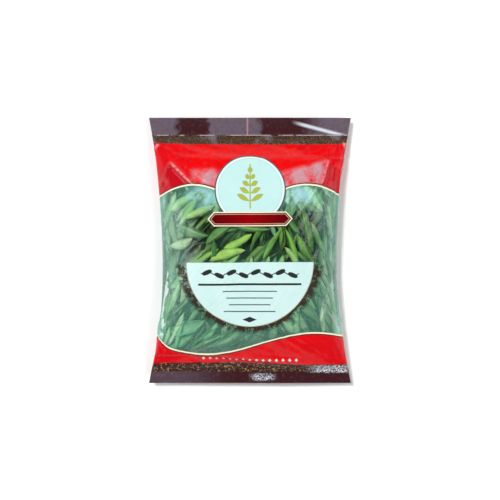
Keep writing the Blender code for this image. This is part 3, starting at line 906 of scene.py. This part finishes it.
def driedLeaf():
    made, tree = newMaterial("dried_leaf")
    place = newNode(tree, "ShaderNodeTexCoord").outputs["Object"]
    parts = newNode(tree, "ShaderNodeSeparateXYZ", {"Vector": attribute(tree, "leafPlace", "Vector")})
    s, t, tone = (Field(tree, parts.outputs[axis]) for axis in "XYZ")
    deep = colourRamp(tree, tone, [
        (0.0, linear(50, 108, 56)),
        (0.2, linear(124, 192, 76)),
        (0.45, linear(184, 232, 108)),
        (0.65, linear(84, 150, 84)),
        (0.85, linear(200, 242, 122)),
        (1.0, linear(120, 176, 136)),
    ])
    # painted reflection: leaves away from the window are coloured paler and brighter, standing in for the
    # film's milky veil over them
    paleUnderReflection = colourRamp(tree, tone, [
        (0.0, linear(84, 164, 108)),
        (0.25, linear(200, 255, 190)),
        (0.5, linear(124, 216, 144)),
        (0.75, linear(232, 255, 220)),
        (0.9, linear(112, 200, 150)),
        (1.0, linear(180, 250, 208)),
    ])
    clear = attribute(tree, "leafClear")
    fromRib = abs(t - 0.5)
    # painted highlight: lighter along the crown of each rolled leaf, for the leaves away from the window
    crown = fromRib.below(0.1, 0.1) * (1.0 - clear) * 0.45
    colour = mixColour(tree, crown, mixColour(tree, clear, paleUnderReflection, deep), linear(228, 255, 216))
    mottle = noiseAt(tree, place, 160, 4, 0.6)
    colour = mixColour(tree, mottle.above(0.54, 0.14) * 0.28, colour, linear(52, 104, 40))
    rib = fromRib.below(0.04, 0.02)
    vein = abs((s * 15.0 - fromRib * 6.0).cells(1.0)).below(0.07, 0.05)
    lines = rib.most(vein * 0.4)
    colour = mixColour(tree, lines * 0.5, colour, linear(176, 200, 120))
    # painted shade: darker towards the rolled edges of each leaf
    colour = mixColour(tree, fromRib.above(0.3, 0.22) * 0.45, colour, linear(34, 66, 34))
    colour = mixColour(tree, attribute(tree, "leafLit"), linear(10, 30, 15), colour)
    bump = bumpFrom(tree, noiseAt(tree, place, 420, 3, 0.6) - lines * 0.5, 0.6, 0.0004)
    inputs = {"Base Color": colour, "Roughness": leaves["roughness"], "Normal": bump}
    shader = newNode(tree, "ShaderNodeBsdfPrincipled", inputs)
    newNode(tree, "ShaderNodeOutputMaterial", {"Surface": shader.outputs[0]})
    return made


def shadedLeafLitter():
    made, tree = newMaterial("leaf_litter_in_shade")
    place = newNode(tree, "ShaderNodeTexCoord").outputs["Object"]
    coarse = noiseAt(tree, place, 90, 4, 0.65)
    # painted shade: colours far darker than any leaf above, for the shade deep in the bag
    colour = colourRamp(tree, coarse, [
        (0.25, linear(10, 26, 12)),
        (0.5, linear(24, 50, 22)),
        (0.75, linear(54, 90, 36)),
    ])
    bump = bumpFrom(tree, coarse, 0.8, 0.0015)
    inputs = {"Base Color": colour, "Roughness": leaves["bedRoughness"], "Normal": bump}
    shader = newNode(tree, "ShaderNodeBsdfPrincipled", inputs)
    newNode(tree, "ShaderNodeOutputMaterial", {"Surface": shader.outputs[0]})
    return made


def makeLeaves(form):
    rng = np.random.default_rng(leaves["seed"])
    sample, girthAt = formSampler(form)
    finish = driedLeaf()
    left, right, low, high = leaves["window"]
    for name, back, rows, columns, least, alongSteps, acrossSteps in leaves["layers"]:
        shape = (back, rows, columns, least, alongSteps, acrossSteps)
        points, faces, leafPlace, lit = leafBlades(rng, sample, girthAt, *shape)
        piece = newPiece(name, points, faces, "dried_leaves", finish)
        pointVectors(piece, "leafPlace", leafPlace)
        pointValues(piece, "leafLit", lit)
        # 1 for the leaves that lie by the clear window, 0 for the ones further out, whose colour is painted
        # paler for the film's milky reflection over them
        x, y, _ = points.mean(axis=(1, 2)).T / mm
        off = np.maximum.reduce([left - x, x - right, low - y, y - high])
        clear = np.clip(0.5 - off / 16, 0, 1) * (0 if back else 1)
        pointValues(piece, "leafClear", np.repeat(clear, points[0, ..., 0].size))
        print(name, "made,", rows * columns, "leaves")

    # the bed of broken leaves below them, coloured dark as painted shade: the film's form, deeper, with
    # lumps from crossed sines
    rows, columns = 60, 120
    stations = np.linspace(yLow + 0.024, yHigh - 0.030, rows)
    y, around = np.meshgrid(stations, np.linspace(0, 1, columns, endpoint=False), indexing="ij")
    lumps = np.sin(around * 88 + 3 * np.sin(y * 160)) * np.sin(y * 430 + 2 * np.sin(around * 40))
    toEnd = np.abs(np.linspace(-1, 1, rows))[:, None]
    bed = sample(around, y, (leaves["bedDepth"] + leaves["bedLump"] * lumps + 3 * toEnd ** 6) * mm)
    faces = gridFaces(rows, columns).tolist()
    faces += [list(range(columns)), list(range((rows - 1) * columns, rows * columns))[::-1]]
    newPiece("leaf_bed", bed, faces, "dried_leaves", shadedLeafLitter())


# Floor, light and camera

studio = {
    "floorSize": 6.0,
    "floorColour": (0.93, 0.93, 0.93, 1),
    "camera": (0, 0.0003, 1.1097),
    "lens": 100.0,
    "sensor": 36,
    "skyLight": (0.85, 0.08, 0.42),     # at the horizon, straight above, and the height of the change
    "suns": [
        # name, place that it shines from, strength, width in degrees
        ("key", (-0.42, 0.42, 1.30), 2.5, 13),
        ("fill", (0.62, -0.42, 1.00), 1.1, 30),
    ],
    "softBoxes": [
        # name, place, width, height, power
        ("gloss_left", (-1.00, 0.10, 0.75), 0.30, 0.70, 1.7),
        ("gloss_right", (0.95, 0.25, 0.80), 0.30, 0.70, 1.4),
        ("gloss_top", (0.0, 1.00, 1.20), 1.10, 0.20, 0.8),
    ],
}


def aimAt(place, target):
    away = np.array(target) - np.array(place)
    return (np.arctan2(np.hypot(away[0], away[1]), -away[2]), 0, np.arctan2(away[1], away[0]) - np.pi / 2)


def placeLight(name, data, place):
    light = bpy.data.objects.new(name, data)
    light.location = place
    light.rotation_euler = aimAt(place, (0, 0, 0.02))
    bpy.context.scene.collection.objects.link(light)
    return light


def setStudio():
    scene = bpy.context.scene
    world = bpy.data.worlds.new("studio")
    scene.world = world
    world.use_nodes = True
    tree = world.node_tree
    direction = newNode(tree, "ShaderNodeTexCoord").outputs["Generated"]
    upward = newNode(tree, "ShaderNodeSeparateXYZ", {"Vector": direction})
    horizon, zenith, change = studio["skyLight"]
    strength = Field(tree, upward.outputs["Z"]).below(change, 0.12) * (horizon - zenith) + zenith
    feed(tree, tree.nodes["Background"].inputs["Color"], (1, 1, 1, 1))
    feed(tree, tree.nodes["Background"].inputs["Strength"], strength)
    scene.view_settings.view_transform = "Standard"

    half = studio["floorSize"] / 2
    mesh = bpy.data.meshes.new("floor")
    corners = [(-half, -half, 0), (half, -half, 0), (half, half, 0), (-half, half, 0)]
    mesh.from_pydata(corners, [], [(0, 1, 2, 3)])
    floor = bpy.data.objects.new("floor", mesh)
    scene.collection.objects.link(floor)
    made, tree = newMaterial("floor_white")
    shader = newNode(tree, "ShaderNodeBsdfDiffuse", {"Color": studio["floorColour"]})
    newNode(tree, "ShaderNodeOutputMaterial", {"Surface": shader.outputs[0]})
    mesh.materials.append(made)

    for name, place, strength, degrees in studio["suns"]:
        data = bpy.data.lights.new(name, "SUN")
        data.energy, data.angle = strength, np.radians(degrees)
        placeLight(name, data, place).visible_glossy = False
    for name, place, width, height, power in studio["softBoxes"]:
        data = bpy.data.lights.new(name, "AREA")
        data.shape = "RECTANGLE"
        data.size, data.size_y, data.energy = width, height, power
        placeLight(name, data, place)

    data = bpy.data.cameras.new("camera")
    data.lens = studio["lens"]
    data.sensor_width = studio["sensor"]
    data.clip_end = 20
    camera = bpy.data.objects.new("camera", data)
    camera.location = studio["camera"]
    scene.collection.objects.link(camera)
    scene.camera = camera


form = buildFilmForm()
filmFinish = printedFilm()
makeFilm(form, filmFinish)
makeLap(form, filmFinish)
makeLeaves(form)
setStudio()
print("studio set")
